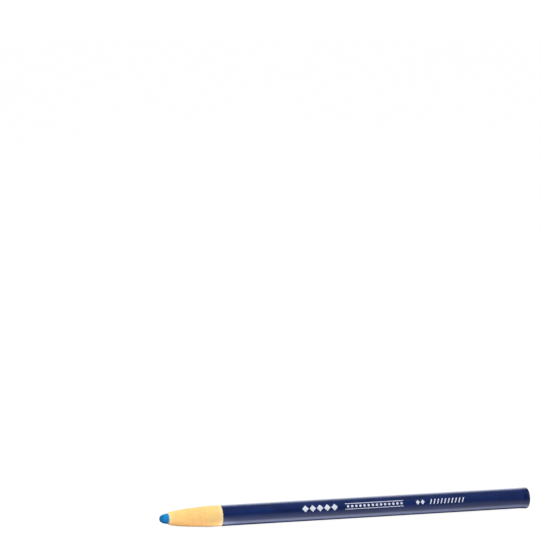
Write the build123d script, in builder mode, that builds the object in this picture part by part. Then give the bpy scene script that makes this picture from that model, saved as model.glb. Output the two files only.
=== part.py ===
from build123d import *
import os

# ---------------------------------------------------------------------------
# Peel-off grease marker ("china marker"): a wax rod wrapped in wound paper.
# The marker lies on its side. +X runs from the wax point to the rear end,
# +Z is up, and the origin is under the middle of the marker, on the surface
# it lies on. Millimetres.
# ---------------------------------------------------------------------------

# overall
length = 178.0            # wax point to rear end face (7 in)
barrel_d = 9.5            # over the outer label (3/8 in)
core_d = 4.7              # wax rod (3/16 in, nominal)

# outer label and end coat
label_t = 0.10            # printed and lacquered outer paper
dip_t = 0.40              # lacquer over the rear end face
dip_len = 3.4             # how far the end coat runs forward over the label
bead_d = 9.9              # the coat's thicker bead round the rear edge
edge_r = 0.75             # rounding of the rear edge

# wound paper
slit = 0.05               # width of the knife slit between two turns
ring_pitch = 7.0          # slit to slit along the marker
fit_gap = 0.03            # radial gap between wax rod and paper
wrap_d = barrel_d - 2 * label_t        # wound paper under the label
wrap_gap = 0.02           # radial gap between wound paper and label
paper_front = 3.75        # wax stands this far out of the paper
bevel_len = 1.05          # steep torn-looking front bevel of the paper
point_end = 21.15         # the ground point ends here, the cylinder starts
label_front = point_end + ring_pitch   # front edge of the label, 28.15
point_r = 4.60            # radius at the back of the ground point
bare_r = 4.70             # radius of the bare turn, where no label holds it down

# pull string
string_d = 0.36
string_r = 4.60           # its centre line, half sunk in the wound paper
string_deg = 35.0         # its place round the marker: up from the +Y side

# positions
axis_z = bead_d / 2       # the marker's axis above the surface
x0 = -length / 2          # the wax point
rear_inner = length - dip_t            # rear end of rod, paper and label

core_r = core_d / 2
bore_r = core_r + fit_gap
wrap_r = wrap_d / 2
label_r = barrel_d / 2

AXIS = Axis((0, 0, axis_z), (1, 0, 0))
LATHE = Plane(origin=(x0, 0, axis_z), x_dir=(1, 0, 0), z_dir=(0, -1, 0))
# in LATHE, x is the distance from the wax point and y is the radius

os.makedirs("parts", exist_ok=True)


def point_radius(t):
    """Radius of the ground paper point, t mm behind the wax point."""
    u = point_end - t
    return point_r - 0.062 * u - 3.54e-5 * u ** 3.46


# ------------------------------------------------------------- marking core
# one rod of coloured wax for the whole length, with a blunt rounded point
with BuildPart() as marking_core:
    with BuildSketch(LATHE):
        with BuildLine():
            nose = Spline(
                (0, 0), (0.26, 1.17), (0.75, 1.57), (1.25, 1.84), (1.75, 2.06), (2.30, 2.20),
                (3.70, core_r),
                tangents=[(0, 1), (1, 0)],
            )
            Polyline((3.70, core_r), (rear_inner, core_r), (rear_inner, 0), (0, 0))
        make_face()
    revolve(axis=AXIS)
marking_core.part.label = "marking_core"
export_step(marking_core.part, "parts/marking_core.step")


# ----------------------------------------------------- wound paper, the point
# Turn 1: from the torn front edge back to the first slit.
ring_1_back = point_end - 2 * ring_pitch
with BuildPart() as peel_ring_01:
    with BuildSketch(LATHE):
        with BuildLine():
            bevel_back = paper_front + bevel_len
            t_list = [bevel_back + i * (ring_1_back - slit / 2 - bevel_back) / 4 for i in range(5)]
            front = Line((paper_front, bore_r), (paper_front, bore_r + 0.06))
            steep = Line(front @ 1, (bevel_back, point_radius(bevel_back)))
            Spline([(t, point_radius(t)) for t in t_list])
            Polyline(
                (t_list[-1], point_radius(t_list[-1])), (t_list[-1], bore_r), (paper_front, bore_r)
            )
        make_face()
    revolve(axis=AXIS)
peel_ring_01.part.label = "peel_ring_01"
export_step(peel_ring_01.part, "parts/peel_ring_01.step")

# Turn 2: the middle of the point.
ring_2_front = ring_1_back + slit / 2
ring_2_back = ring_1_back + ring_pitch - slit / 2
with BuildPart() as peel_ring_02:
    with BuildSketch(LATHE):
        with BuildLine():
            t_list = [ring_2_front + i * (ring_2_back - ring_2_front) / 5 for i in range(6)]
            Spline([(t, point_radius(t)) for t in t_list])
            Polyline(
                (t_list[-1], point_radius(t_list[-1])),
                (t_list[-1], bore_r),
                (t_list[0], bore_r),
                (t_list[0], point_radius(t_list[0])),
            )
        make_face()
    revolve(axis=AXIS)
peel_ring_02.part.label = "peel_ring_02"
export_step(peel_ring_02.part, "parts/peel_ring_02.step")

# Turn 3: the back of the point.
ring_3_front = ring_2_back + slit
ring_3_back = point_end - slit / 2
with BuildPart() as peel_ring_03:
    with BuildSketch(LATHE):
        with BuildLine():
            t_list = [ring_3_front + i * (ring_3_back - ring_3_front) / 5 for i in range(6)]
            Spline([(t, point_radius(t)) for t in t_list])
            Polyline(
                (t_list[-1], point_radius(t_list[-1])),
                (t_list[-1], bore_r),
                (t_list[0], bore_r),
                (t_list[0], point_radius(t_list[0])),
            )
        make_face()
    revolve(axis=AXIS)
peel_ring_03.part.label = "peel_ring_03"
export_step(peel_ring_03.part, "parts/peel_ring_03.step")

# Turn 4: the bare cylinder between the point and the label.
ring_4_front = point_end + slit / 2
ring_4_back = label_front - slit / 2
with BuildPart() as peel_ring_04:
    with BuildSketch(LATHE):
        with BuildLine():
            Polyline(
                (ring_4_front, bore_r),
                (ring_4_front, point_r),
                (ring_4_front + 0.15, bare_r),
                (ring_4_back, bare_r),
                (ring_4_back, bore_r),
                close=True,
            )
        make_face()
    revolve(axis=AXIS)
peel_ring_04.part.label = "peel_ring_04"
export_step(peel_ring_04.part, "parts/peel_ring_04.step")


# ------------------------------------------- wound paper, under the label
# Equal turns, slit from each other at the same pitch, and a short one left
# over at the rear. The pull string presses a groove along each of them.
with BuildPart() as string_groove:
    with BuildSketch(Plane.YZ.offset(x0 + label_front - 1)):
        with Locations((0, axis_z)):
            with Locations(Rot(0, 0, string_deg) * Pos(string_r, 0)):
                Circle(string_d / 2 + 0.02)
            with Locations(Rot(0, 0, string_deg) * Pos(string_r + 0.4, 0)):
                Rectangle(0.8, string_d + 0.04)
    extrude(amount=length)

ring_fronts = []
front = label_front
while front < rear_inner - 0.5:
    ring_fronts.append(front)
    front += ring_pitch

covered_rings = []
for number, ring_front in enumerate(ring_fronts, start=5):
    ring_back = min(ring_front + ring_pitch - slit / 2, rear_inner)
    with BuildPart() as covered_ring:
        with BuildSketch(Plane.YZ.offset(x0 + ring_front + slit / 2)):
            with Locations((0, axis_z)):
                Circle(wrap_r - wrap_gap)
                Circle(bore_r, mode=Mode.SUBTRACT)
        extrude(amount=ring_back - ring_front - slit / 2)
        add(string_groove.part, mode=Mode.SUBTRACT)
    name = "peel_ring_%02d" % number
    covered_ring.part.label = name
    export_step(covered_ring.part, "parts/" + name + ".step")
    covered_rings.append(covered_ring.part)


# ---------------------------------------------------------------- pull string
# A waxed thread laid along the marker between the wound paper and the label.
# Its front end is flush with the label's front edge, where it is picked up.
with BuildPart() as pull_string:
    with BuildSketch(Plane.YZ.offset(x0 + label_front)):
        with Locations((0, axis_z)):
            with Locations(Rot(0, 0, string_deg) * Pos(string_r, 0)):
                Circle(string_d / 2)
    extrude(amount=rear_inner - label_front)
pull_string.part.label = "pull_string"
export_step(pull_string.part, "parts/pull_string.step")


# --------------------------------------------------------------- label sleeve
# The outer paper: one sheet rolled round the wound paper and lacquered. It
# stands up in a low ridge where it passes over the pull string.
with BuildPart() as label_sleeve:
    with BuildSketch(Plane.YZ.offset(x0 + label_front)):
        with Locations((0, axis_z)):
            Circle(label_r)
            with Locations(Rot(0, 0, string_deg) * Pos(string_r, 0)):
                Circle(string_d / 2 + 0.01 + label_t)
            Circle(wrap_r, mode=Mode.SUBTRACT)
            with Locations(Rot(0, 0, string_deg) * Pos(string_r, 0)):
                Circle(string_d / 2 + 0.01, mode=Mode.SUBTRACT)
    extrude(amount=rear_inner - label_front)
label_sleeve.part.label = "label_sleeve"
export_step(label_sleeve.part, "parts/label_sleeve.step")


# ------------------------------------------------------------------- end coat
# Lacquer the rear end was dipped in: a closed cup with a thicker bead round
# the edge, thinning out forward over the label.
bead_r = bead_d / 2
dip_front = length - dip_len
with BuildPart() as end_dip:
    with BuildSketch(LATHE):
        with BuildLine():
            feather = Line((dip_front, label_r), (dip_front, label_r + 0.04))
            swell = Spline(
                (dip_front, label_r + 0.04),
                (length - 2.2, label_r + 0.11),
                (length - edge_r, bead_r),
                tangents=[(1, 0.02), (1, 0)],
            )
            half = edge_r * 2 ** -0.5
            corner = ThreePointArc(
                (length - edge_r, bead_r),
                (length - edge_r + half, bead_r - edge_r + half),
                (length, bead_r - edge_r),
            )
            Polyline(
                (length, bead_r - edge_r),
                (length, 0),
                (rear_inner, 0),
                (rear_inner, label_r),
                (dip_front, label_r),
            )
        make_face()
    revolve(axis=AXIS)
    # the coat rises over the label's ridge, and is hollow where the label is
    with BuildSketch(Plane.YZ.offset(x0 + dip_front)):
        with Locations((0, axis_z)):
            with Locations(Rot(0, 0, string_deg) * Pos(string_r, 0)):
                Circle(bead_r - string_r)
    extrude(amount=length - edge_r - dip_front)
    with BuildSketch(Plane.YZ.offset(x0 + dip_front)):
        with Locations((0, axis_z)):
            Circle(label_r)
            with Locations(Rot(0, 0, string_deg) * Pos(string_r, 0)):
                Circle(string_d / 2 + 0.01 + label_t)
    extrude(amount=rear_inner - dip_front, mode=Mode.SUBTRACT)
end_dip.part.label = "end_dip"
export_step(end_dip.part, "parts/end_dip.step")


if __name__ == "__main__":
    pieces = [marking_core.part, peel_ring_01.part, peel_ring_02.part, peel_ring_03.part,
              peel_ring_04.part, *covered_rings, pull_string.part, label_sleeve.part, end_dip.part]
    whole = Compound(children=pieces)
    box = whole.bounding_box()
    print("pieces", len(pieces), "box", box.min, box.max)
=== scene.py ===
import math

import bpy
import numpy as np
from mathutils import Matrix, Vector


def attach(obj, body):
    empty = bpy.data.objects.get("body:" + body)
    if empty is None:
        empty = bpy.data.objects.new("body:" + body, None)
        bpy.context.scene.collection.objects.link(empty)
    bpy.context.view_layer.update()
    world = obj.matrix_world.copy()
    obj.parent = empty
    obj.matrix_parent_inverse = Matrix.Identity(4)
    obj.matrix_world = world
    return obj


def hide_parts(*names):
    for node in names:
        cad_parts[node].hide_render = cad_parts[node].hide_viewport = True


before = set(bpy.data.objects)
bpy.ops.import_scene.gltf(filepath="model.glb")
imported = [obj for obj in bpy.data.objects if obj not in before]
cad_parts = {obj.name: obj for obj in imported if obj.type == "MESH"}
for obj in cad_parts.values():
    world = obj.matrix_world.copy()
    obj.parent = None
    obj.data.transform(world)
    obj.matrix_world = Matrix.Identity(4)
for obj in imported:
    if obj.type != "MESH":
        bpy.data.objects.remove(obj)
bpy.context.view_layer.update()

# ---------------------------------------------------------------------------
# Peel-off grease marker. Lengths below are in millimetres and are turned into
# metres when a mesh is made. t is the distance behind the wax point, r the
# distance from the marker's axis, a the angle round it: 0 at +Y, 90 at +Z.
# ---------------------------------------------------------------------------
MM = 0.001
X0 = -89.0
AXIS_Z = 4.95
LENGTH = 178.0
REAR = 177.6
CORE_R = 2.35
BORE_R = 2.38
WRAP_R = 4.65
BARE_R = 4.70
LABEL_R = 4.75
BEAD_R = 4.95
POINT_END = 21.15
LABEL_T = 28.15
STRING_A = math.radians(35.0)
STRING_R = 4.60
PLY = 0.103                       # thickness of one ply of the wound paper


# ------------------------------------------------------------ small helpers
def srgb(r, g, b, a=1.0):
    def lin(c):
        c /= 255.0
        return c / 12.92 if c <= 0.04045 else ((c + 0.055) / 1.055) ** 2.4
    return (lin(r), lin(g), lin(b), a)


def grain(shape, lt, la, seed):
    """Smooth noise of unit spread on a grid. lt and la are its grain in rows
    and columns; the columns join up round the marker."""
    rng = np.random.default_rng(seed)
    raw = rng.standard_normal(shape)
    ft = np.fft.fftfreq(shape[0])[:, None]
    fa = np.fft.fftfreq(shape[1])[None, :]
    keep = np.exp(-2 * (math.pi ** 2) * ((ft * lt) ** 2 + (fa * la) ** 2))
    out = np.real(np.fft.ifft2(np.fft.fft2(raw) * keep))
    return out / out.std()


def ringwave(a, seed, orders, amps):
    """Slow waviness round the marker."""
    rng = np.random.default_rng(seed)
    out = np.zeros_like(a)
    for k, m in zip(orders, amps):
        out = out + m * np.sin(k * a + rng.uniform(0, 2 * math.pi))
    return out


def smoothmax(x, y, k):
    h = np.clip(0.5 + 0.5 * (x - y) / k, 0, 1)
    return y * (1 - h) + x * h + k * h * (1 - h)


def step(x, lo, hi):
    s = np.clip((x - lo) / (hi - lo), 0, 1)
    return s * s * (3 - 2 * s)


def to_row(t, r, a):
    """Millimetre places on the marker to points in the row frame."""
    t, r, a = np.broadcast_arrays(t, r, a)
    return np.stack([(X0 + t), r * np.cos(a), AXIS_Z + r * np.sin(a)], -1) * MM


def new_mesh(name, verts, quads, tris=None, sharp=38.0, attrs=None):
    faces = [tuple(q) for q in np.asarray(quads).reshape(-1, 4).tolist()]
    if tris is not None and len(tris):
        faces += [tuple(q) for q in np.asarray(tris).reshape(-1, 3).tolist()]
    me = bpy.data.meshes.new(name)
    me.from_pydata(np.asarray(verts).reshape(-1, 3).tolist(), [], faces)
    me.validate()
    for key, values in (attrs or {}).items():
        at = me.attributes.new(key, "FLOAT", "POINT")
        at.data.foreach_set("value", np.asarray(values, np.float32).ravel())
    me.shade_smooth()
    me.set_sharp_from_angle(angle=math.radians(sharp))
    me.update()
    ob = bpy.data.objects.new(name, me)
    bpy.context.scene.collection.objects.link(ob)
    return ob


def grid_quads(nt, na, close_t=False, close_a=True, base=0):
    i = np.arange(nt if close_t else nt - 1)[:, None]
    j = np.arange(na if close_a else na - 1)[None, :]
    i2, j2 = (i + 1) % nt, (j + 1) % na
    # wound so that a profile running rearwards on the outside faces outwards
    return np.stack([base + i * na + j, base + i * na + j2,
                     base + i2 * na + j2, base + i2 * na + j], -1).reshape(-1, 4)


def ring_solid(name, t, r, a, attrs=None, sharp=38.0):
    """Closed solid of revolution from a closed profile: t and r are grids of
    (profile point, angle)."""
    v = to_row(t, r, a[None, :])
    return new_mesh(name, v, grid_quads(t.shape[0], t.shape[1], close_t=True), sharp=sharp, attrs=attrs)


def spindle_solid(name, t, r, a, pole0, pole1, attrs=None, sharp=38.0):
    """Solid of revolution whose profile starts and ends on the axis."""
    nt, na = t.shape
    v = to_row(t, r, a[None, :]).reshape(-1, 3)
    ends = to_row(np.array([pole0, pole1]), 0.0, 0.0)
    v = np.vstack([v, ends])
    q = grid_quads(nt, na)
    j = np.arange(na)
    j2 = (j + 1) % na
    first, last, c0, c1 = 0, (nt - 1) * na, nt * na, nt * na + 1
    tris = np.vstack([np.stack([np.full(na, c0), first + j2, first + j], -1),
                      np.stack([np.full(na, c1), last + j, last + j2], -1)])
    if attrs:
        attrs = {k: np.concatenate([np.asarray(x, float).ravel(), [np.mean(x[0]), np.mean(x[-1])]])
                 for k, x in attrs.items()}
    return new_mesh(name, v, q, tris, sharp=sharp, attrs=attrs)


def point_radius(t):
    """Radius of the ground paper point."""
    u = np.maximum(POINT_END - t, 0.0)
    return 4.60 - 0.062 * u - 3.54e-5 * u ** 3.46


def groove_limit(a, r_out, grow):
    """How far out the wound paper reaches beside the pull string."""
    y = STRING_R * np.sin(a - STRING_A)
    near = (np.abs(y) < grow) & (np.cos(a - STRING_A) > 0)
    inner = STRING_R * np.cos(a - STRING_A) - np.sqrt(np.maximum(grow ** 2 - y ** 2, 0))
    return np.where(near, np.minimum(inner, r_out), r_out)


def ridge_radius(a, size):
    """Radius of the ridge that the label makes over the pull string."""
    y = STRING_R * np.sin(a - STRING_A)
    near = (np.abs(y) < size) & (np.cos(a - STRING_A) > 0)
    return np.where(near, STRING_R * np.cos(a - STRING_A) + np.sqrt(np.maximum(size ** 2 - y ** 2, 0)), 0.0)


# ------------------------------------------------------------ material tools
class Mat:
    """A node material written as short calls."""

    def __init__(self, name):
        self.mat = bpy.data.materials.new(name)
        self.mat.use_nodes = True
        self.nt = self.mat.node_tree
        self.nt.nodes.clear()
        self.out = self.node("ShaderNodeOutputMaterial")

    def node(self, kind, **props):
        n = self.nt.nodes.new(kind)
        for k, v in props.items():
            setattr(n, k, v)
        return n

    def put(self, value, socket):
        if isinstance(value, bpy.types.NodeSocket):
            self.nt.links.new(value, socket)
        else:
            socket.default_value = value

    def place(self, scale=(1, 1, 1), offset=(0, 0, 0)):
        """Object coordinates in millimetres, about the marker's axis."""
        tc = self.node("ShaderNodeTexCoord")
        mp = self.node("ShaderNodeMapping")
        mp.vector_type = "POINT"
        mp.inputs["Location"].default_value = (offset[0], offset[1], offset[2] - AXIS_Z * scale[2])
        mp.inputs["Scale"].default_value = tuple(1000.0 * s for s in scale)
        self.nt.links.new(tc.outputs["Object"], mp.inputs["Vector"])
        return mp.outputs["Vector"]

    def noise(self, vector, scale=1.0, detail=2.0, rough=0.5, distort=0.0):
        n = self.node("ShaderNodeTexNoise")
        n.noise_dimensions = "3D"
        n.inputs["Scale"].default_value = scale
        n.inputs["Detail"].default_value = detail
        n.inputs["Roughness"].default_value = rough
        n.inputs["Distortion"].default_value = distort
        self.nt.links.new(vector, n.inputs["Vector"])
        return n.outputs["Fac"]

    def voronoi(self, vector, scale=1.0, feature="F1", random=1.0):
        n = self.node("ShaderNodeTexVoronoi", feature=feature)
        n.inputs["Scale"].default_value = scale
        n.inputs["Randomness"].default_value = random
        self.nt.links.new(vector, n.inputs["Vector"])
        return n.outputs["Distance"]

    def attr(self, name):
        return self.node("ShaderNodeAttribute", attribute_name=name).outputs["Fac"]

    def math(self, op, a, b=0.0, c=0.0, clamp=False):
        n = self.node("ShaderNodeMath", operation=op, use_clamp=clamp)
        self.put(a, n.inputs[0])
        self.put(b, n.inputs[1])
        self.put(c, n.inputs[2])
        return n.outputs[0]

    def ramp(self, fac, lo, hi, to_lo=0.0, to_hi=1.0, smooth=True):
        n = self.node("ShaderNodeMapRange", interpolation_type="SMOOTHSTEP" if smooth else "LINEAR")
        self.put(fac, n.inputs["Value"])
        n.inputs["From Min"].default_value = lo
        n.inputs["From Max"].default_value = hi
        n.inputs["To Min"].default_value = to_lo
        n.inputs["To Max"].default_value = to_hi
        return n.outputs["Result"]

    def blend(self, fac, a, b, kind="MIX"):
        n = self.node("ShaderNodeMix", data_type="RGBA", blend_type=kind)
        self.put(fac, n.inputs[0])
        self.put(a, n.inputs[6])
        self.put(b, n.inputs[7])
        return n.outputs[2]

    def bump(self, height, strength, distance_mm, normal=None):
        n = self.node("ShaderNodeBump")
        n.inputs["Strength"].default_value = strength
        n.inputs["Distance"].default_value = distance_mm * MM
        self.nt.links.new(height, n.inputs["Height"])
        if normal is not None:
            self.nt.links.new(normal, n.inputs["Normal"])
        return n.outputs["Normal"]

    def surface(self, **values):
        p = self.node("ShaderNodeBsdfPrincipled")
        for k, v in values.items():
            self.put(v, p.inputs[k.replace("_", " ")])
        self.nt.links.new(p.outputs["BSDF"], self.out.inputs["Surface"])
        return p


# ------------------------------------------------------------- the materials
def wax_material():
    m = Mat("blue_wax")
    p = m.place()
    slow = m.noise(p, 0.55, 3.0, 0.55)
    fine = m.noise(p, 5.0, 4.0, 0.6)
    turned = m.noise(m.place((14.0, 0.25, 0.25)), 1.0, 2.0, 0.5)
    drawn = m.noise(m.place((0.12, 4.0, 4.0)), 1.0, 3.0, 0.6)
    tip = m.attr("tip")
    worn = m.attr("worn")
    deep, body, dusty = srgb(24, 126, 191), srgb(26, 141, 204), srgb(40, 154, 214)
    col = m.blend(m.ramp(slow, 0.30, 0.68), deep, body)
    col = m.blend(m.ramp(fine, 0.62, 0.80, 0.0, 0.45), col, dusty)
    # painted shade: the front of the nose is darker, standing in for shade towards the point
    col = m.blend(m.math("MULTIPLY", worn, m.ramp(fine, 0.25, 0.60, 0.75, 1.0)), col, srgb(20, 90, 147))
    # the shaved nose is a little paler than the drawn side of the rod
    col = m.blend(m.math("MULTIPLY", m.ramp(turned, 0.55, 0.75), m.math("MULTIPLY", tip, 0.35)), col, dusty)
    mask = m.math("SUBTRACT", 1.0, tip)
    streak = m.math("MULTIPLY", m.ramp(drawn, 0.50, 0.72), m.math("MULTIPLY", mask, 0.45))
    col = m.blend(streak, col, deep)
    n = m.bump(turned, 0.55, 0.03)
    n = m.bump(drawn, 0.30, 0.02, n)
    n = m.bump(fine, 0.35, 0.03, n)
    rough = m.ramp(fine, 0.35, 0.75, 0.42, 0.62)
    s = m.surface(Base_Color=col, Roughness=rough, Normal=n)
    s.inputs["IOR"].default_value = 1.44
    s.inputs["Specular IOR Level"].default_value = 0.14
    s.inputs["Subsurface Weight"].default_value = 0.12
    s.inputs["Subsurface Radius"].default_value = (0.15, 0.5, 1.0)
    s.inputs["Subsurface Scale"].default_value = 0.0006
    return m.mat


def paper_material(name, inside=False):
    """Tan wound paper: fibres along the ribbon, ply lines, a pale torn front whose paleness on the ground bevel is
    partly painted light.
    """
    m = Mat(name)
    p = m.place()
    fibre = m.noise(m.place((7.0, 1.1, 1.1)), 1.0, 4.0, 0.65, 0.6)
    felt = m.noise(p, 9.0, 5.0, 0.7)
    blotch = m.noise(m.place((0.35, 0.5, 0.5)), 1.0, 2.0, 0.5)
    speck = m.voronoi(p, 2.6)
    tan, light, dark = srgb(255, 206, 123), srgb(255, 221, 152), srgb(234, 169, 91)
    col = m.blend(m.ramp(fibre, 0.32, 0.70), tan, light)
    col = m.blend(m.ramp(blotch, 0.30, 0.72, 0.0, 0.45), col, srgb(247, 190, 104))
    col = m.blend(m.ramp(felt, 0.60, 0.82, 0.0, 0.5), col, dark)
    fleck = m.math("MULTIPLY", m.ramp(speck, 0.0, 0.13, 1.0, 0.0), m.ramp(felt, 0.42, 0.60))
    col = m.blend(m.math("MULTIPLY", fleck, 0.45), col, srgb(176, 118, 62))
    if not inside:
        ply = m.attr("ply")
        edge = m.ramp(ply, 0.86, 1.0)
        lip = m.ramp(ply, 0.0, 0.16, 1.0, 0.0)
        grind = m.attr("grind")
        col = m.blend(m.math("MULTIPLY", edge, m.math("MULTIPLY", grind, 0.55)), col, dark)
        col = m.blend(m.math("MULTIPLY", lip, m.math("MULTIPLY", grind, 0.40)), col, srgb(255, 229, 178))
        # the skin of the paper, where it isn't ground away, is a little paler
        col = m.blend(m.ramp(grind, 0.15, 0.6, 0.35, 0.0), col, srgb(255, 229, 150))
        # pale: paler paper at the cut end faces, slit edges and torn margin; on the ground bevel it is partly painted
        # light for the lit face
        pale = m.attr("pale")
        col = m.blend(m.math("MULTIPLY", pale, m.ramp(fibre, 0.25, 0.60, 0.55, 1.0)), col, srgb(255, 234, 190))
        # wax rubbed into the torn lip
        stain = m.math("MULTIPLY", m.attr("stain"), m.ramp(felt, 0.35, 0.62, 0.55, 1.0))
        col = m.blend(stain, col, srgb(126, 178, 190))
    n = m.bump(fibre, 0.45, 0.03)
    n = m.bump(felt, 0.55, 0.03, n)
    rough = m.ramp(felt, 0.3, 0.7, 0.80, 0.95)
    s = m.surface(Base_Color=col, Roughness=rough, Normal=n)
    s.inputs["IOR"].default_value = 1.45
    s.inputs["Specular IOR Level"].default_value = 0.15
    return m.mat


def label_material():
    """Navy lacquer on paper; the sheet's cut edge is bare paper."""
    m = Mat("navy_label")
    p = m.place()
    cloud = m.noise(m.place((0.10, 0.35, 0.35)), 1.0, 3.0, 0.55)
    peel = m.noise(m.place((1.3, 1.5, 1.5)), 1.0, 2.0, 0.5)
    fine = m.noise(p, 11.0, 4.0, 0.65)
    scuff = m.noise(m.place((0.9, 9.0, 9.0)), 1.0, 3.0, 0.6, 0.4)
    col = m.blend(m.ramp(cloud, 0.30, 0.70), srgb(16, 36, 88), srgb(24, 46, 104))
    col = m.blend(m.ramp(fine, 0.62, 0.85, 0.0, 0.35), col, srgb(14, 27, 68))
    worn = m.math("MULTIPLY", m.ramp(scuff, 0.69, 0.78), m.ramp(cloud, 0.42, 0.60))
    col = m.blend(m.math("MULTIPLY", worn, 0.22), col, srgb(112, 124, 170))
    bare = m.attr("bare")
    torn = m.math("ADD", bare, m.math("MULTIPLY", m.math("SUBTRACT", fine, 0.5), 0.55))
    bare_mask = m.ramp(torn, 0.42, 0.58)
    col = m.blend(bare_mask, col, srgb(250, 227, 174))
    lap = m.attr("lap")
    col = m.blend(m.math("MULTIPLY", lap, 0.5), col, srgb(14, 22, 54))
    # dark_band: the label is darker in a narrow band just behind the bare margin
    dark_band = m.math("MULTIPLY", m.attr("dark_band"), m.math("SUBTRACT", 1.0, bare_mask))
    col = m.blend(m.math("MULTIPLY", dark_band, 0.75), col, srgb(20, 19, 34))
    n = m.bump(peel, 0.12, 0.02)
    n = m.bump(fine, 0.07, 0.012, n)
    n = m.bump(scuff, 0.04, 0.012, n)
    rough = m.math("ADD", m.ramp(cloud, 0.3, 0.7, 0.34, 0.40), m.math("MULTIPLY", worn, 0.18))
    rough = m.math("ADD", rough, m.math("MULTIPLY", bare_mask, 0.4))
    coat = m.math("SUBTRACT", 1.0, bare_mask)
    s = m.surface(Base_Color=col, Roughness=rough, Normal=n, Coat_Weight=coat)
    s.inputs["IOR"].default_value = 1.5
    s.inputs["Specular IOR Level"].default_value = 0.15
    s.inputs["Coat Roughness"].default_value = 0.22
    s.inputs["Coat IOR"].default_value = 1.8
    return m.mat


def dip_material():
    m = Mat("navy_dip")
    p = m.place()
    cloud = m.noise(p, 0.45, 3.0, 0.5)
    fine = m.noise(p, 9.0, 4.0, 0.6)
    chip = m.noise(p, 3.1, 5.0, 0.7)
    col = m.blend(m.ramp(cloud, 0.3, 0.7), srgb(13, 29, 78), srgb(21, 41, 94))
    rim = m.attr("rim")
    worn = m.ramp(m.math("ADD", chip, m.math("MULTIPLY", rim, 0.13)), 0.70, 0.76)
    col = m.blend(m.math("MULTIPLY", worn, 0.55), col, srgb(96, 110, 158))
    n = m.bump(cloud, 0.25, 0.06)
    n = m.bump(fine, 0.10, 0.012, n)
    rough = m.math("ADD", m.ramp(cloud, 0.3, 0.7, 0.30, 0.38), m.math("MULTIPLY", worn, 0.25))
    s = m.surface(Base_Color=col, Roughness=rough, Normal=n)
    s.inputs["IOR"].default_value = 1.5
    s.inputs["Specular IOR Level"].default_value = 0.15
    s.inputs["Coat Weight"].default_value = 1.0
    s.inputs["Coat Roughness"].default_value = 0.20
    s.inputs["Coat IOR"].default_value = 1.8
    return m.mat


def foil_material():
    m = Mat("white_foil")
    p = m.place()
    wear = m.noise(p, 7.0, 5.0, 0.7)
    slow = m.noise(p, 0.9, 2.0, 0.5)
    col = m.blend(m.ramp(slow, 0.3, 0.7), srgb(226, 231, 250), srgb(246, 248, 255))
    thin = m.ramp(m.math("ADD", wear, m.math("MULTIPLY", slow, 0.10)), 0.70, 0.78)
    col = m.blend(m.math("MULTIPLY", thin, 0.75), col, srgb(84, 96, 150))
    n = m.bump(wear, 0.2, 0.01)
    rough = m.ramp(wear, 0.3, 0.7, 0.34, 0.52)
    s = m.surface(Base_Color=col, Roughness=rough, Normal=n)
    s.inputs["Coat Weight"].default_value = 0.3
    s.inputs["Coat Roughness"].default_value = 0.25
    return m.mat


def thread_material():
    m = Mat("natural_thread")
    p = m.place()
    hair = m.noise(m.place((3.0, 14.0, 14.0)), 1.0, 4.0, 0.7, 0.5)
    slow = m.noise(p, 1.2, 2.0, 0.5)
    col = m.blend(m.ramp(hair, 0.3, 0.7), srgb(214, 200, 168), srgb(243, 233, 208))
    col = m.blend(m.ramp(slow, 0.35, 0.75, 0.0, 0.4), col, srgb(198, 182, 148))
    n = m.bump(hair, 0.6, 0.02)
    s = m.surface(Base_Color=col, Roughness=m.ramp(hair, 0.3, 0.7, 0.75, 0.9), Normal=n)
    s.inputs["Sheen Weight"].default_value = 0.2
    s.inputs["Sheen Roughness"].default_value = 0.5
    return m.mat


MAT_WAX = wax_material()
MAT_PAPER = paper_material("wound_paper_ground")
MAT_INNER = paper_material("wound_paper_covered", inside=True)
MAT_LABEL = label_material()
MAT_DIP = dip_material()
MAT_FOIL = foil_material()
MAT_THREAD = thread_material()


def finish_piece(ob, mat, slot, body, *nodes):
    ob.data.materials.clear()
    ob.data.materials.append(mat)
    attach(ob, body)
    if nodes:
        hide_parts(*nodes)
    return ob


# ------------------------------------------------------------------ wax rod
def clamped_curve(points, tan0, tan1, n):
    pts = np.array(points, float)
    m = len(pts)
    h = np.linalg.norm(np.diff(pts, axis=0), axis=1)
    lhs, rhs = np.zeros((m, m)), np.zeros((m, 2))
    lhs[0, 0] = lhs[-1, -1] = 1.0
    rhs[0], rhs[-1] = tan0, tan1
    for i in range(1, m - 1):
        lhs[i, i - 1], lhs[i, i], lhs[i, i + 1] = h[i], 2 * (h[i - 1] + h[i]), h[i - 1]
        rhs[i] = 3 * (h[i] * (pts[i] - pts[i - 1]) / h[i - 1] + h[i - 1] * (pts[i + 1] - pts[i]) / h[i])
    d = np.linalg.solve(lhs, rhs)
    out = []
    for i in range(m - 1):
        s = np.linspace(0, 1, n, endpoint=(i == m - 2))[:, None]
        out.append((2 * s ** 3 - 3 * s ** 2 + 1) * pts[i] + (s ** 3 - 2 * s ** 2 + s) * h[i] * d[i]
                   + (-2 * s ** 3 + 3 * s ** 2) * pts[i + 1] + (s ** 3 - s ** 2) * h[i] * d[i + 1])
    return np.vstack(out)


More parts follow.
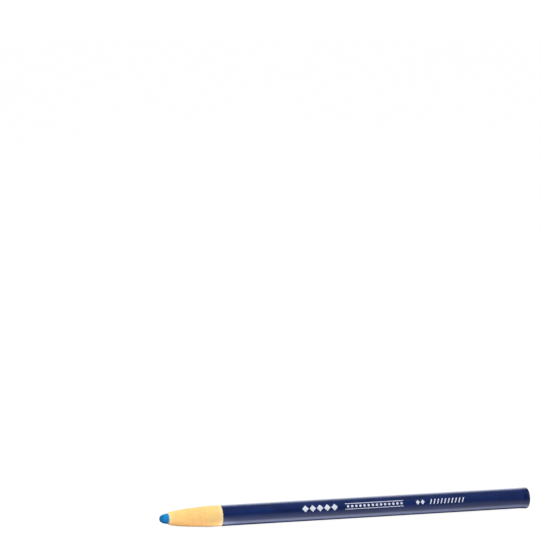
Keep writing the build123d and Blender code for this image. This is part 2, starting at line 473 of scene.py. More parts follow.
def make_wax():
    na = 144
    a = np.linspace(0, 2 * math.pi, na, endpoint=False)
    nose = clamped_curve([(0, 0), (0.26, 1.17), (0.75, 1.57), (1.25, 1.84), (1.75, 2.06), (2.30, 2.20), (3.70, CORE_R)],
                         (0, 1), (1, 0), 13)[1:]
    side_t = np.concatenate([np.arange(3.85, 30.0, 0.22), np.linspace(30.2, REAR - 0.06, 46)])
    prof = np.vstack([nose, np.stack([side_t, np.full_like(side_t, CORE_R)], 1),
                      [(REAR - 0.02, CORE_R - 0.015), (REAR, CORE_R - 0.06), (REAR, 1.2)]])
    t = np.repeat(prof[:, :1], na, 1)
    r = np.repeat(prof[:, 1:], na, 1)
    on_nose = 1 - step(t, 2.0, 3.6)
    # shallow facets and turning ridges left where the nose was shaped
    facets = ringwave(a, 11, (2, 3, 5, 8), (0.020, 0.018, 0.012, 0.006))[None, :]
    r = r * (1 + facets * on_nose)
    rough = grain(t.shape, 0.8, 5.0, 12)
    drawn = grain(t.shape, 9.0, 1.3, 13)
    r = r + on_nose * np.minimum(r, 1) * 0.010 * rough * step(r, 0.2, 0.9)
    r = r - (1 - on_nose) * 0.0035 * np.abs(drawn)
    r = r - 0.012 * (1 - on_nose) * np.exp(-((t % 7.0 - 0.15) / 0.05) ** 2) * (t < 30)
    t = t + on_nose * 0.010 * grain(t.shape, 3.0, 6.0, 14) * step(r, 0.1, 0.8)
    # worn carries painted shade: 1 at the point of the nose, fading out by 2.8 mm back
    ob = spindle_solid("wax_rod", t, np.minimum(r, CORE_R + 0.004), a, 0.0, REAR, attrs={"tip": on_nose, "worn": 1 - step(t, 0.3, 2.8)}, sharp=50)
    return finish_piece(ob, MAT_WAX, "wax", "barrel", "marking_core")


# --------------------------------------------------------------- paper turns
EDGE_D = np.array([0.0, 0.003, 0.009, 0.018, 0.030, 0.045])


def rounding(d, size):
    """How far a rounded edge drops at distance d from the end."""
    x = np.clip(size - d, 0, size)
    return size - np.sqrt(size ** 2 - x ** 2)


def make_turn(name, node, body, t0, t1, radius, seed, ground=1.0, bevel=None, pitch=0.06,
              grooved=False, mat=None, edge=0.035, worn=1.0, torn=0.0):
    na = 216
    a = np.linspace(0, 2 * math.pi, na, endpoint=False)
    if bevel:
        tb = bevel[1]
        lip = np.linspace(t0, tb, int((tb - t0) / 0.022))
        rb = np.interp(lip, [t0, tb], [BORE_R + 0.06, float(radius(np.array(tb)))])
        to = np.concatenate([lip[:-1], np.arange(tb, t1 - 0.08, pitch), t1 - EDGE_D[::-1]])
        ro = np.concatenate([rb[:-1], radius(to[len(lip) - 1:])])
    else:
        to = np.concatenate([t0 + EDGE_D, np.arange(t0 + 0.08, t1 - 0.08, pitch), t1 - EDGE_D[::-1]])
        ro = radius(to)
    n_out = len(to)
    drop = rounding(t1 - to, edge)
    if not bevel:
        drop = drop + rounding(to - t0, edge)
    ro_n = ro - drop
    n_face = 40
    back_r = np.linspace(ro_n[-1], BORE_R, n_face)[1:]
    front_r = np.linspace(BORE_R, ro_n[0], 6 if bevel else n_face)[1:-1]
    bore_t = np.linspace(t1, t0, 14)[1:]
    t = np.concatenate([to, np.full(len(back_r), t1), bore_t, np.full(len(front_r), t0)])
    r = np.concatenate([ro_n, back_r, np.full(len(bore_t), BORE_R), front_r])
    n = len(t)
    is_out = np.zeros(n); is_out[:n_out] = 1
    is_back = np.zeros(n); is_back[n_out:n_out + len(back_r) - 1] = 1
    is_front = np.zeros(n); is_front[n - len(front_r):] = 1
    t2 = np.repeat(t[:, None], na, 1)
    r2 = np.repeat(r[:, None], na, 1)
    r_nom = np.concatenate([ro, back_r, np.full(len(bore_t), BORE_R), front_r])[:, None]
    # where the surface cuts the spiral of plies
    jitter = 0.10 * grain(t2.shape, 5.0, 9.0, seed) + 0.05 * grain(t2.shape, 2.0, 2.5, seed + 1)
    phase = (r_nom / PLY - a[None, :] / (2 * math.pi) + jitter * is_out[:, None]) % 1.0
    saw = 0.5 - phase
    if bevel:
        on_bevel = (1 - step(t2, bevel[1] - 0.15, bevel[1] + 0.25)) * is_out[:, None]
    else:
        on_bevel = np.zeros_like(t2)
    cut = grain(t2.shape, 1.0, 1.2, seed + 2)
    fuzz = grain(t2.shape, 1.6, 3.0, seed + 3)
    height = ground * 0.015 * (1 - on_bevel) + 0.055 * on_bevel
    dr = is_out[:, None] * (height * saw + 0.0018 * cut + 0.0035 * fuzz * (1 + 2.5 * on_bevel))
    # nicks and pulled fibres along the slit edges
    d_back = np.where(is_out[:, None] > 0, t1 - t2, 9.0)
    d_front = np.where(is_out[:, None] > 0, t2 - t0, 9.0)
    nick_b = np.maximum(grain((1, na), 1, 1.6, seed + 4), 0) ** 2
    nick_f = np.maximum(grain((1, na), 1, 1.6, seed + 5), 0) ** 2
    dr -= worn * 0.010 * nick_b * np.exp(-(d_back / 0.05) ** 2) * is_out[:, None]
    if not bevel:
        dr -= worn * 0.010 * nick_f * np.exp(-(d_front / 0.05) ** 2) * is_out[:, None]
    # slow out-of-round of the wound body
    dr += is_out[:, None] * (ringwave(a, seed + 6, (2, 3, 5), (0.006, 0.004, 0.003))[None, :])
    r2 = r2 + dr
    # ply rings on the knife-cut end faces
    wobble = 0.006 * grain(t2.shape, 1.5, 5.0, seed + 7)
    ring = (0.5 - np.abs(phase - 0.5)) * 0.030
    inside = step(r2, BORE_R + 0.05, BORE_R + 0.25)
    t2 = t2 - is_back[:, None] * inside * (ring + np.abs(wobble) * 0.5)
    t2 = t2 + is_front[:, None] * inside * (ring + np.abs(wobble) * 0.5)
    if bevel:
        # the torn front lip is uneven
        lipwave = ringwave(a, seed + 8, (1, 3, 7, 12), (0.030, 0.030, 0.025, 0.018))
        lipfray = 0.030 * grain((1, na), 1, 1.1, seed + 9)[0]
        move = np.abs(lipwave + lipfray)[None, :] * (1 - step(t2, t0 + 0.05, t0 + 0.45))
        t2 = t2 + move * (r2 > BORE_R + 0.01)
        shoulder = 0.035 * grain((1, na), 1, 2.2, seed + 10)
        r2 = r2 + shoulder * np.exp(-((t2 - bevel[1]) / 0.16) ** 2) * is_out[:, None]
    if grooved:
        lim = groove_limit(a, 99.0, 0.20)[None, :]
        r2 = np.minimum(r2, lim + 0 * r2)
    # on the ground bevel the paleness is partly frayed fibre and partly painted light for the brightly lit bevel; on
    # the end faces and slit edges it is pale cut paper
    pale = on_bevel * 0.25 + 0.55 * (is_back + is_front)[:, None]
    pale = pale + is_out[:, None] * 0.35 * (np.exp(-(d_back / 0.06) ** 2)
                                            + (0 if bevel else 1) * np.exp(-(d_front / 0.06) ** 2))
    # a pale margin where the next sheet was torn away from it
    reach = 0.75 + 0.16 * grain((1, na), 1, 5.0, seed + 13) + 0.07 * grain((1, na), 1, 1.4, seed + 14)
    pale = pale + torn * is_out[:, None] * (1 - step(d_back - reach, -0.22, 0.16))
    grind = np.maximum(is_out * ground, 0.8 * (is_back + is_front))[:, None] + 0 * t2
    # wax left on the bore, and rubbed into the torn front lip
    on_bore = (1 - is_out) * (1 - is_back) * (1 - is_front)
    stain = on_bore[:, None] * (0.40 + 0.12 * grain(t2.shape, 2.0, 8.0, seed + 12))
    if bevel:
        smear = 0.27 + 0.08 * grain((1, na), 1, 6.0, seed + 11)
        rubbed = 0.95 * np.exp(-(np.maximum(t2 - t0 - 0.05, 0) / np.clip(smear, 0.08, 0.4)) ** 1.6)
        stain = np.where(r2 > BORE_R + 0.01, rubbed * is_out[:, None], stain)
    stain = np.clip(stain, 0, 1)
    ob = ring_solid(name, t2, r2, a, sharp=46,
                    attrs={"ply": phase, "pale": np.clip(pale, 0, 1), "grind": grind, "stain": stain})
    return finish_piece(ob, mat or MAT_PAPER, "wound_paper", body, node)


def bare_radius(t):
    """The bare turn: a small step up from the ground point, then straight."""
    return 4.60 + (BARE_R - 4.60) * step(np.asarray(t, float), POINT_END + 0.02, POINT_END + 0.22)


def covered_radius(t):
    return np.full_like(np.asarray(t, float), 4.63)


def make_turns():
    make_turn("paper_turn_1", "peel_ring_01", "turn_1", 3.75, 7.125, point_radius, 100, bevel=(3.75, 4.80), pitch=0.05)
    make_turn("paper_turn_2", "peel_ring_02", "turn_2", 7.175, 14.125, point_radius, 200)
    make_turn("paper_turn_3", "peel_ring_03", "turn_3", 14.175, 21.125, point_radius, 300)
    make_turn("paper_turn_4", "peel_ring_04", "turn_4", 21.175, 28.125, bare_radius, 400, ground=0.12, edge=0.03,
              torn=0.6)
    make_turn("paper_turn_5", "peel_ring_05", "barrel", 28.175, 35.125, covered_radius, 500, ground=0.1,
              grooved=True, worn=0.4, edge=0.02)
    for i in range(6, 27):
        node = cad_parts["peel_ring_%02d" % i]
        node.data.materials.clear()
        node.data.materials.append(MAT_INNER)


# --------------------------------------------------------------------- label
LAP_A = math.radians(58.0)        # the free lengthwise edge of the label sheet


def label_outer(t, a):
    """Outer radius of the label at (t, a), both broadcast."""
    a = np.asarray(a, float)
    t = np.asarray(t, float)
    wave = (0.0045 * np.sin(3 * a + 0.045 * t + 0.4) + 0.0035 * np.sin(2 * a - 0.11 * t + 2.0)
            + 0.0022 * np.sin(5 * a + 0.31 * t + 1.1) + 0.0016 * np.sin(9 * a - 0.73 * t + 0.3)
            + 0.0010 * np.sin(4 * a + 1.9 * t) + 0.0008 * np.sin(13 * a + 1.3 * t + 2.2))
    # the slits between the turns show through very faintly
    slit = -0.003 * np.exp(-(((t - LABEL_T + 3.5) % 7.0 - 3.5) / 0.25) ** 2)
    base = LABEL_R + wave + slit
    away = (LAP_A - a)
    lap = 0.060 * step(away, 0.0, 0.006) * (1 - step(away, 0.42, 0.60)) * (away > 0)
    ridge = ridge_radius(a, 0.29)
    return smoothmax(base + lap, ridge + 0.5 * lap + wave * 0.5, 0.05)


def label_angles():
    fine = np.radians(np.concatenate([np.arange(22, 29, 0.7), np.arange(29, 41, 0.35), np.arange(41, 56, 1.0),
                                      np.arange(56, 57.4, 0.25), [57.55, 57.7, 57.8, 57.88, 57.95, 58.01, 58.15],
                                      np.arange(58.5, 61, 0.5)]))
    rest = np.radians(np.arange(62.0, 381.5, 1.75))
    out = np.sort(np.concatenate([fine, rest]))
    return out


def make_label():
    a = label_angles()
    a = np.where(a > 2 * math.pi, a - 2 * math.pi, a)
    a = np.sort(a)
    na = len(a)
    near = np.array([0.0, 0.003, 0.010, 0.022, 0.05, 0.10, 0.16, 0.22, 0.28, 0.34, 0.42, 0.55, 0.75, 1.0])
    to = np.concatenate([LABEL_T + near, np.arange(LABEL_T + 1.45, REAR - 0.2, 0.48), [REAR - 0.05, REAR]])
    n_out = len(to)
    t = np.concatenate([to, [REAR], np.linspace(REAR, LABEL_T, 40)[1:], [LABEL_T, LABEL_T]])
    frac = np.concatenate([np.ones(n_out), [0.5], np.zeros(39), [0.35, 0.75]])
    t2 = np.repeat(t[:, None], na, 1)
    outer = label_outer(t2, a[None, :])
    outer = outer - rounding(t2 - LABEL_T, 0.022)
    inner = np.maximum(WRAP_R, ridge_radius(a, 0.19))[None, :] + 0 * t2
    r2 = inner + (outer - inner) * frac[:, None]
    # the cut front edge wanders a little and has small nicks
    wander = ringwave(a, 31, (1, 2, 4, 9), (0.012, 0.010, 0.008, 0.006))
    jag = np.interp(a, np.linspace(0, 2 * math.pi, 721), np.append(grain((1, 720), 1, 1.5, 32)[0], 0.0)) * 0.006
    pull = np.clip(wander + jag, -0.02, 0.04)[None, :]
    t2 = t2 + np.abs(pull) * (1 - step(t2, LABEL_T, LABEL_T + 0.5)) * (frac[:, None] > 0.2)
    margin = 0.30 + ringwave(a, 33, (1, 3, 6, 11), (0.045, 0.03, 0.02, 0.015))
    bare = 1 - step(t2 - LABEL_T, margin[None, :] - 0.06, margin[None, :] + 0.06)
    cut = (frac[:, None] > 0.1) & (frac[:, None] < 0.9) & (t2 < LABEL_T + 1)
    bare = np.maximum(bare, cut) * (frac[:, None] > 0.1) + (frac[:, None] <= 0.1)
    lap_line = np.exp(-((a - LAP_A) / 0.006) ** 2)[None, :] + 0 * t2
    # dark_band: a narrow darker band on the label just behind the bare margin
    dark_band = np.exp(-((t2 - LABEL_T - margin[None, :] - 0.12) / 0.30) ** 2) * (frac[:, None] > 0.9)
    ob = ring_solid("label_sheet", t2, r2, a, attrs={"bare": np.clip(bare, 0, 1), "lap": lap_line, "dark_band": dark_band}, sharp=50)
    return finish_piece(ob, MAT_LABEL, "label", "barrel", "label_sleeve")


# --------------------------------------------------------------- white marks
class Marks:
    """Thin raised foil shapes laid on the label. s runs round the barrel,
    upwards on the side that faces the camera."""

    def __init__(self, centre_deg, lift=0.012, sink=0.015):
        self.centre = math.radians(centre_deg)
        self.lift, self.sink = lift, sink
        self.v, self.q, self.count = [], [], 0

    def patch(self, t, s):
        nt, ns = t.shape
        ang = self.centre - s / LABEL_R
        base = label_outer(t, ang)
        top = to_row(t, base + self.lift, ang).reshape(-1, 3)
        low = to_row(t, base - self.sink, ang).reshape(-1, 3)
        i = np.arange(nt - 1)[:, None]
        j = np.arange(ns - 1)[None, :]
        one = np.stack([i * ns + j, (i + 1) * ns + j, (i + 1) * ns + j + 1, i * ns + j + 1], -1).reshape(-1, 4)
        off = nt * ns
        edge = ([(k, 0) for k in range(nt)] + [(nt - 1, k) for k in range(1, ns)]
                + [(k, ns - 1) for k in range(nt - 2, -1, -1)] + [(0, k) for k in range(ns - 2, 0, -1)])
        e = np.array([x * ns + y for x, y in edge])
        e2 = np.roll(e, -1)
        side = np.stack([e, e + off, e2 + off, e2], -1)
        quads = np.vstack([one, one[:, ::-1] + off, side]) + self.count
        self.v.append(np.vstack([top, low]))
        self.q.append(quads)
        self.count += 2 * off

    def bar(self, t0, t1, s0, s1, slant=0.0, n_t=None):
        nt = n_t or max(3, int((t1 - t0) / 0.35) + 2)
        u = np.linspace(0, 1, nt)[:, None]
        w = np.linspace(0, 1, max(3, int((s1 - s0) / 0.3) + 2))[None, :]
        s = s0 + (s1 - s0) * w + 0 * u
        self.patch(t0 + (t1 - t0) * u + slant * (w - 0.5), s)

    def diamond(self, t, s, wide, high, n=9):
        u = np.linspace(-1, 1, n)[:, None]
        w = np.linspace(-1, 1, n)[None, :]
        self.patch(t + (u + w) / 2 * wide / 2, s + (w - u) / 2 * high / 2)

    def dot(self, t, s, d, n=9):
        u = np.linspace(-1, 1, n)[:, None] + np.zeros((1, n))
        w = np.linspace(-1, 1, n)[None, :] + np.zeros((n, 1))
        x = u * np.sqrt(1 - w ** 2 / 2)
        y = w * np.sqrt(1 - u ** 2 / 2)
        self.patch(t + x * d / 2, s + y * d / 2)

    def make(self, name):
        ob = new_mesh(name, np.vstack(self.v), np.vstack(self.q), sharp=40)
        return finish_piece(ob, MAT_FOIL, "label", "barrel")


def make_marks():
    m = Marks(160.0)
    for k in range(5):                                     # bold row of diamonds
        m.diamond(67.7 + 3.5 * k, 0.0, 3.1, 3.2)
    t = 88.2
    while t < 114.6:                                       # dots between two rules
        m.dot(t, 0.0, 1.15)
        t += 2.0
    m.bar(86.8, 115.2, 1.12, 1.42)
    m.bar(86.8, 115.2, -1.42, -1.12)
    m.diamond(122.2, 0.0, 1.9, 2.4)                        # small pair
    m.diamond(124.6, 0.0, 1.9, 2.4)
    t = 128.4
    while t < 145.0:                                       # slanted dashes
        m.bar(t, t + 0.55, -1.15, 1.15, slant=0.9)
        t += 1.75
    return m.make("foil_marks")


# ------------------------------------------------------------------ end coat
def make_end_coat():
    na = 240
    a = np.linspace(0, 2 * math.pi, na, endpoint=False)
    front = 174.6 + np.clip(ringwave(a, 51, (1, 2, 3, 5), (0.10, 0.09, 0.05, 0.04)), -0.25, 0.3)
    length, er = LENGTH, 0.75
    seat_t = np.linspace(REAR, 174.6, 12)
    inner = [(REAR, 1.2), (REAR, 3.0)] + [(x, LABEL_R + 0.02) for x in seat_t]
    outer_t = np.concatenate([[174.6, 174.604, 174.62, 174.66, 174.72, 174.8], np.linspace(174.95, length - er, 22)])
    s = np.clip((outer_t - 174.6) / (length - er - 174.6), 0, 1)
    outer_r = LABEL_R + 0.030 + 0.17 * step(s, 0.0, 1.0) - 0.010 * np.exp(-((outer_t - 174.6) / 0.03) ** 2)
    arc = np.radians(np.linspace(90, 0, 16))[1:]
    corner = [(length - er + er * math.cos(x), BEAD_R - er + er * math.sin(x)) for x in arc]
    face_r = np.concatenate([np.linspace(BEAD_R - er, 2.6, 12)[1:], np.linspace(2.5, 2.2, 8), np.linspace(2.0, 0.25, 9)])
    prof = np.array(inner + list(zip(outer_t, outer_r)) + corner + [(length, x) for x in face_r])
    n_in = len(inner)
    t = np.repeat(prof[:, :1], na, 1)
    r = np.repeat(prof[:, 1:], na, 1)
    is_out = np.zeros((len(prof), 1)); is_out[n_in:] = 1
    # the front edge of the coat is uneven where the lacquer stopped running
    span = np.clip((length - er - t) / (length - er - 174.6), 0, 1)
    move = (front[None, :] - 174.6) * span ** 2 * ((is_out > 0) | (r > 4))
    t = t + move * (t < length - er)
    swell = ringwave(a, 52, (1, 2, 4, 7), (0.022, 0.016, 0.010, 0.006))[None, :]
    body = step(t, 175.2, 176.6) * (1 - step(t, length - 0.02, length))
    r = r + is_out * (r > 4.0) * body * (swell - 0.035)
    ridge = ridge_radius(a, 0.345)[None, :] - 0.5 * step(t, length - er - 0.9, length - er + 0.15)
    lift = is_out * (t < length - 0.25) * (r > 4.2)
    r = np.where(lift > 0, smoothmax(r, np.minimum(ridge, BEAD_R - 0.006), 0.05), r)
    groove = np.maximum(label_outer(t, a[None, :]), LABEL_R) + 0.002
    r = np.where((is_out == 0) & (r > 4), groove, r)
    r = np.minimum(r, BEAD_R)
    # end face: the rod and the plies show through the lacquer as slight relief
    on_face = is_out * (prof[:, 1:] < BEAD_R - er + 0.01) * (prof[:, :1] > length - 0.01)
    rod = -0.050 * (1 - step(r, 2.25, 2.52)) - 0.014 * np.exp(-((r - 2.45) / 0.10) ** 2)
    plies = -0.006 * (0.5 + 0.5 * np.cos(2 * math.pi * (r / 0.41 - a[None, :] / (2 * math.pi)))) * step(r, 2.5, 2.8)
    puddle = -0.010 + 0.010 * ringwave(a, 53, (1, 2), (0.6, 0.4))[None, :] * step(r, 0.3, 2.5)
    t = t + on_face * (rod + plies + np.minimum(puddle, 0))
    rim = np.exp(-((t - (length - 0.35)) / 0.45) ** 2) * is_out
    ob = spindle_solid("end_coat", t, r, a, REAR, length - 0.055, attrs={"rim": rim}, sharp=50)
    return finish_piece(ob, MAT_DIP, "end_lacquer", "barrel", "end_dip")


# ------------------------------------------------------------- pull string
def make_thread():
    """Two twisted plies, together 0.36 across."""
    na, pitch, t0, t1 = 10, 1.35, LABEL_T + 0.005, REAR - 0.005
    n = int((t1 - t0) / 0.10)
    t = np.linspace(t0, t1, n)
    b = np.linspace(0, 2 * math.pi, na, endpoint=False)
    cy, cz = STRING_R * math.cos(STRING_A), AXIS_Z + STRING_R * math.sin(STRING_A)
    verts, quads, tris, count = [], [], [], 0
    for k in (0, 1):
        tw = 2 * math.pi * t / pitch + k * math.pi
        oy, oz = 0.082 * np.cos(tw), 0.082 * np.sin(tw)
        rad = 0.094 + 0.003 * np.sin(t * 3.1 + k)
        y = cy + oy[:, None] + rad[:, None] * np.cos(b)[None, :]
        z = cz + oz[:, None] + rad[:, None] * np.sin(b)[None, :]
        x = np.repeat((X0 + t)[:, None], na, 1)
        v = np.stack([x, y, z], -1).reshape(-1, 3) * MM
        ends = np.array([[X0 + t0, cy + oy[0], cz + oz[0]], [X0 + t1, cy + oy[-1], cz + oz[-1]]]) * MM
        verts.append(np.vstack([v, ends]))
        quads.append(grid_quads(n, na, base=count))
        j = np.arange(na)
        j2 = (j + 1) % na
        c0, c1, last = count + n * na, count + n * na + 1, count + (n - 1) * na
        tris.append(np.stack([np.full(na, c0), count + j2, count + j], -1))
        tris.append(np.stack([np.full(na, c1), last + j, last + j2], -1))
        count += n * na + 2
    ob = new_mesh("thread", np.vstack(verts), np.vstack(quads), np.vstack(tris), sharp=60)
    return finish_piece(ob, MAT_THREAD, "thread", "barrel", "pull_string")


make_wax()
make_turns()
make_label()
make_marks()
make_end_coat()
make_thread()


# ---------------------------------------------------------- floor and light
def disk(name, z, radius=9.0, n=96):
    verts = [(0.0, 0.0, z)]
    faces = []
    for k in range(n):
        w = 2 * math.pi * k / n
        verts.append((radius * math.cos(w), radius * math.sin(w), z))
        faces.append((0, 1 + k, 1 + (k + 1) % n))
    me = bpy.data.meshes.new(name)
    me.from_pydata(verts, [], faces)
    me.update()
    ob = bpy.data.objects.new(name, me)
    bpy.context.scene.collection.objects.link(ob)
    return ob


def make_floor():
    """The white floor that is seen, and under it the glow that it throws back
    at the marker: strongest close beside it, shaded right under it."""
    seen = disk("floor", -0.00004)
    m = Mat("floor_white")
    s = m.surface()
    s.inputs["Base Color"].default_value = (0.08, 0.08, 0.08, 1)
    s.inputs["Roughness"].default_value = 0.9
    s.inputs["Specular IOR Level"].default_value = 0.0
    s.inputs["Emission Color"].default_value = (1, 1, 1, 1)
    s.inputs["Emission Strength"].default_value = FLOOR_SEEN
    seen.data.materials.append(m.mat)
    seen.visible_diffuse = False
    seen.visible_glossy = False
    seen.visible_transmission = False

    glow = disk("floor_glow", -0.00008)
    g = Mat("floor_bounce")
    sep = g.node("ShaderNodeSeparateXYZ")
    tc = g.node("ShaderNodeTexCoord")
    g.nt.links.new(tc.outputs["Object"], sep.inputs[0])
    y = g.math("MULTIPLY", g.math("ABSOLUTE", sep.outputs["Y"]), 1000.0)
    # the bright strip lies a little further out beside the front half
    inner = g.math("SUBTRACT", y, g.ramp(sep.outputs["X"], (X0 + 35) * MM, (X0 + 110) * MM, GLOW["front_out"], 0.0))
    near = g.math("DIVIDE", g.math("SUBTRACT", inner, GLOW["peak_at"]), GLOW["peak_wide"])
    near = g.math("MULTIPLY", g.math("POWER", math.e, g.math("MULTIPLY", g.math("MULTIPLY", near, near), -1.0)),
                  g.ramp(sep.outputs["X"], (X0 + 24) * MM, (X0 + 31) * MM, GLOW["peak_tip"], GLOW["peak"]))
    far = g.ramp(y, GLOW["far_at"][0], GLOW["far_at"][1], GLOW["mid"], GLOW["far"])
    under = g.ramp(inner, GLOW["under_at"][0], GLOW["under_at"][1], GLOW["under"], 1.0)
    total = g.math("MULTIPLY", g.math("ADD", near, far), under)
    total = g.math("MULTIPLY", total, g.ramp(sep.outputs["X"], (X0 + 70) * MM, (X0 + 165) * MM, 1.0, GLOW["rear"]))
    total = g.math("MULTIPLY", total, g.ramp(sep.outputs["X"], (X0 + 29) * MM, (X0 + 38) * MM, 1.0, GLOW["barrel"]))
    total = g.math("MULTIPLY", total, g.ramp(sep.outputs["X"], (X0 + 177) * MM, (X0 + 184) * MM, 1.0, 0.4))
    total = g.math("MULTIPLY", total, g.ramp(sep.outputs["Y"], 0.0, 0.004, 1.0, GLOW["behind"]))
    # what the floor throws back is warm beside the bare paper, cool along the navy
    tint = g.blend(g.ramp(sep.outputs["X"], (X0 + 2) * MM, (X0 + 6) * MM), (1, 1, 1, 1), GLOW["warm"])
    tint = g.blend(g.ramp(sep.outputs["X"], (X0 + 27) * MM, (X0 + 31) * MM), tint, GLOW["cool"])
    em = g.node("ShaderNodeEmission")
    g.nt.links.new(tint, em.inputs["Color"])
    g.nt.links.new(total, em.inputs["Strength"])
    g.nt.links.new(em.outputs[0], g.out.inputs["Surface"])
    glow.data.materials.append(g.mat)
    glow.visible_camera = False
    glow.visible_shadow = False


FLOOR_SEEN = 0.95
GLOW = {"peak": 2.2, "peak_tip": 0.25, "front_out": 0.22, "peak_at": 3.8, "peak_wide": 1.5, "mid": 0.98, "far": 0.45,
        "far_at": (6.0, 22.0), "under": 0.08, "under_at": (1.5, 3.55), "rear": 0.78, "barrel": 0.63, "behind": 0.6,
        "warm": (1.14, 0.96, 1.03, 1), "cool": (0.92, 0.94, 1.09, 1)}
FRONT = (math.radians(22), 0.03)      # azimuth of the dark side of the room, its radiance


def sphere(name, radius, seg=96, rows=48):
    verts, faces = [(0.0, 0.0, radius)], []
    for i in range(1, rows):
        e = math.pi * i / rows
        for k in range(seg):
            w = 2 * math.pi * k / seg
            verts.append((radius * math.sin(e) * math.cos(w), radius * math.sin(e) * math.sin(w), radius * math.cos(e)))
    verts.append((0.0, 0.0, -radius))
    for k in range(seg):
        k2 = (k + 1) % seg
        faces.append((0, 1 + k, 1 + k2))
        for i in range(rows - 2):
            faces.append((1 + i * seg + k, 1 + (i + 1) * seg + k, 1 + (i + 1) * seg + k2, 1 + i * seg + k2))
        faces.append((len(verts) - 1, 1 + (rows - 2) * seg + k2, 1 + (rows - 2) * seg + k))
    me = bpy.data.meshes.new(name)
    me.from_pydata(verts, [], faces)
    me.update()
    ob = bpy.data.objects.new(name, me)
    bpy.context.scene.collection.objects.link(ob)
    return ob


def make_backdrop():
    """The plain white wall that is seen, and the soft panels of the room that
    only show as reflections in the lacquer."""
    wall = sphere("backdrop", 6.0)
    m = Mat("backdrop_white")
    em = m.node("ShaderNodeEmission")
    em.inputs["Strength"].default_value = 1.02
    m.nt.links.new(em.outputs[0], m.out.inputs["Surface"])
    m.mat.cycles.emission_sampling = "NONE"
    wall.data.materials.append(m.mat)

    room = sphere("room", 8.4)
    g = Mat("room_panels")
    tc = g.node("ShaderNodeTexCoord")
    unit = g.node("ShaderNodeVectorMath", operation="NORMALIZE")
    g.nt.links.new(tc.outputs["Object"], unit.inputs[0])
    sep = g.node("ShaderNodeSeparateXYZ")
    g.nt.links.new(unit.outputs[0], sep.inputs[0])
    x, z = sep.outputs["X"], sep.outputs["Z"]
    # the room's own angle round the marker's axis: 1 at the back wall, 0 overhead
    flat = g.node("ShaderNodeVectorMath", operation="MULTIPLY")
    g.nt.links.new(tc.outputs["Object"], flat.inputs[0])
    flat.inputs[1].default_value = (0.0, 1.0, 1.0)
    level = g.node("ShaderNodeVectorMath", operation="NORMALIZE")
    g.nt.links.new(flat.outputs[0], level.inputs[0])
    sep2 = g.node("ShaderNodeSeparateXYZ")
    g.nt.links.new(level.outputs[0], sep2.inputs[0])
    w = sep2.outputs["Y"]
    total = g.ramp(z, ROOM["top_at"][0], ROOM["top_at"][1], ROOM["low"], ROOM["top"])
    back = g.math("MULTIPLY", g.ramp(w, ROOM["rise"][0], ROOM["rise"][1]), g.ramp(x, 0.50, 0.60, 1.0, 0.0))
    back = g.math("MULTIPLY", back, g.ramp(x, -0.50, -0.20, 0.45, 1.0))
    back = g.math("MULTIPLY", back, g.ramp(x, -0.95, -0.80))
    near = g.math("MULTIPLY", g.ramp(g.math("MULTIPLY", w, -1.0), ROOM["rise"][0], ROOM["rise"][1]),
                  g.ramp(x, 0.52, 0.62))
    near = g.math("MULTIPLY", near, g.ramp(x, 0.88, 0.97, 1.0, 0.0))
    total = g.math("ADD", total, g.math("MULTIPLY", g.math("ADD", back, near), ROOM["panel"]))
    em = g.node("ShaderNodeEmission")
    em.inputs["Color"].default_value = (0.95, 0.98, 1.10, 1)
    g.nt.links.new(total, em.inputs["Strength"])
    g.nt.links.new(em.outputs[0], g.out.inputs["Surface"])
    g.mat.cycles.emission_sampling = "NONE"
    room.data.materials.append(g.mat)
    for ob in (wall, room):
        ob.visible_diffuse = False
        ob.visible_transmission = False
        ob.visible_shadow = False
    wall.visible_glossy = False
    room.visible_camera = False


# radiance low down, overhead and of the two long panels, and where they rise
ROOM = {"low": 0.018, "top": 0.10, "top_at": (0.55, 0.85), "panel": 1.6, "rise": (0.36, 0.86)}


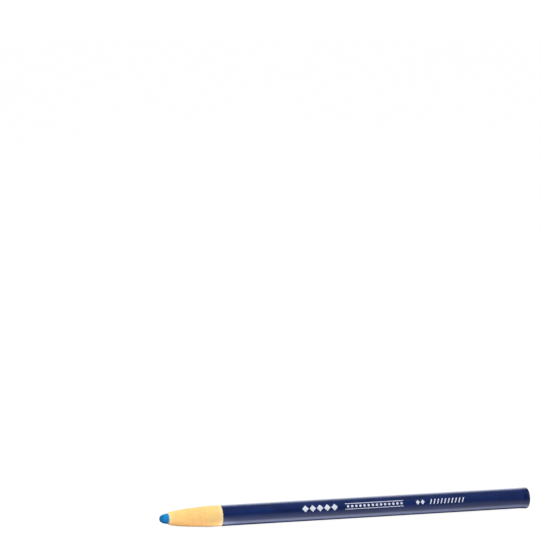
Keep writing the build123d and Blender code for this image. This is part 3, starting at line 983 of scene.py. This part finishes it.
def make_world():
    w = bpy.data.worlds.new("studio")
    bpy.context.scene.world = w
    w.cycles_visibility.glossy = False
    w.cycles_visibility.camera = False
    w.use_nodes = True
    nt = w.node_tree
    nt.nodes.clear()
    tc = nt.nodes.new("ShaderNodeTexCoord")
    sep = nt.nodes.new("ShaderNodeSeparateXYZ")
    nt.links.new(tc.outputs["Generated"], sep.inputs[0])
    dot = nt.nodes.new("ShaderNodeVectorMath")
    dot.operation = "DOT_PRODUCT"
    dot.inputs[1].default_value = (math.sin(FRONT[0]), -math.cos(FRONT[0]), 0.0)
    nt.links.new(tc.outputs["Generated"], dot.inputs[0])

    def ramp(value, lo, hi, a, b):
        n = nt.nodes.new("ShaderNodeMapRange")
        n.interpolation_type = "SMOOTHSTEP"
        nt.links.new(value, n.inputs["Value"])
        for key, v in (("From Min", lo), ("From Max", hi), ("To Min", a), ("To Max", b)):
            n.inputs[key].default_value = v
        return n.outputs["Result"]

    side = ramp(dot.outputs["Value"], 0.25, 0.80, 1.25, FRONT[1])
    top = ramp(sep.outputs["Z"], 0.55, 0.82, 1.0, 0.22)
    mul = nt.nodes.new("ShaderNodeMath")
    mul.operation = "MULTIPLY"
    nt.links.new(side, mul.inputs[0])
    nt.links.new(top, mul.inputs[1])
    bg = nt.nodes.new("ShaderNodeBackground")
    bg.inputs["Color"].default_value = (1, 1, 1, 1)
    nt.links.new(mul.outputs[0], bg.inputs["Strength"])
    out = nt.nodes.new("ShaderNodeOutputWorld")
    nt.links.new(bg.outputs[0], out.inputs[0])


def area(name, az, el, dist, size, power, target=(0, 0, 0.005)):
    a, e = math.radians(az), math.radians(el)
    d = Vector((math.sin(a) * math.cos(e), -math.cos(a) * math.cos(e), math.sin(e)))
    li = bpy.data.lights.new(name, "AREA")
    li.shape = "RECTANGLE"
    li.size, li.size_y = size
    li.energy = power
    ob = bpy.data.objects.new(name, li)
    bpy.context.scene.collection.objects.link(ob)
    ob.location = Vector(target) + d * dist
    ob.rotation_mode = "QUATERNION"
    ob.rotation_quaternion = (-d).to_track_quat("-Z", "Y")
    ob.visible_glossy = False
    ob.visible_camera = False
    return ob


def make_camera():
    cam = bpy.data.cameras.new("camera")
    cam.sensor_width = 36.0
    cam.lens = 234.31
    cam.clip_start, cam.clip_end = 0.02, 60.0
    ob = bpy.data.objects.new("camera", cam)
    bpy.context.scene.collection.objects.link(ob)
    ob.location = (-0.54698, -1.48418, 0.27656)
    flat = Vector((0.3251, 0.9457, 0.0)).normalized()
    pitch = math.radians(5.8685)
    look = Vector((flat.x * math.cos(pitch), flat.y * math.cos(pitch), -math.sin(pitch)))
    ob.rotation_mode = "QUATERNION"
    ob.rotation_quaternion = look.to_track_quat("-Z", "Y")
    bpy.context.scene.camera = ob


make_floor()
make_backdrop()
make_world()
area("key_left", -52, 42, 1.2, (0.9, 0.7), 13.0)
make_camera()

view = bpy.context.scene.view_settings
view.view_transform = "Standard"
view.look = "None"
view.exposure = 0.0
view.gamma = 1.0
